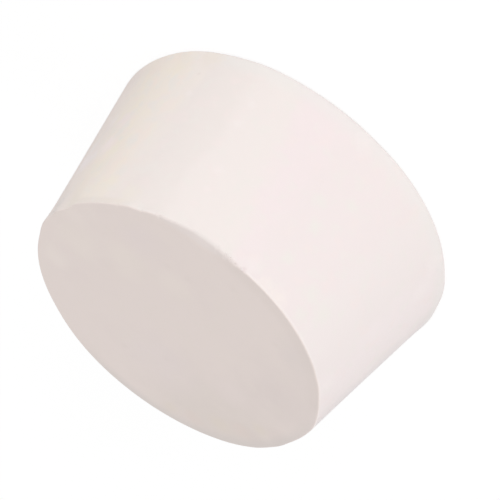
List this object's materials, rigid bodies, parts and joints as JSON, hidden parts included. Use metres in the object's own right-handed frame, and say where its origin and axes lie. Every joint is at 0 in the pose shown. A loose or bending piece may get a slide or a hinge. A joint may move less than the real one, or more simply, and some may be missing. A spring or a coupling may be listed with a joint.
{
  "type": "rubber stopper",
  "caption": "Solid tapered rubber stopper for a laboratory flask, bottle or tube neck, flat at both ends with a smooth conical side.",
  "frame": {"origin": "centre of the large end's face, which the stopper stands on", "axes": "+Z along the stopper's axis from the large end up to the small end; X and Y are alike, because the body is round"},
  "size_m": [0.0498, 0.0498, 0.0245],
  "materials": {
    "ivory_rubber": "smooth moulded rubber, satin to matt, faintly mottled ivory with a pink tinge"
  },
  "bodies": {
    "root": {"stopper": "ivory_rubber"}
  },
  "joints": []
}
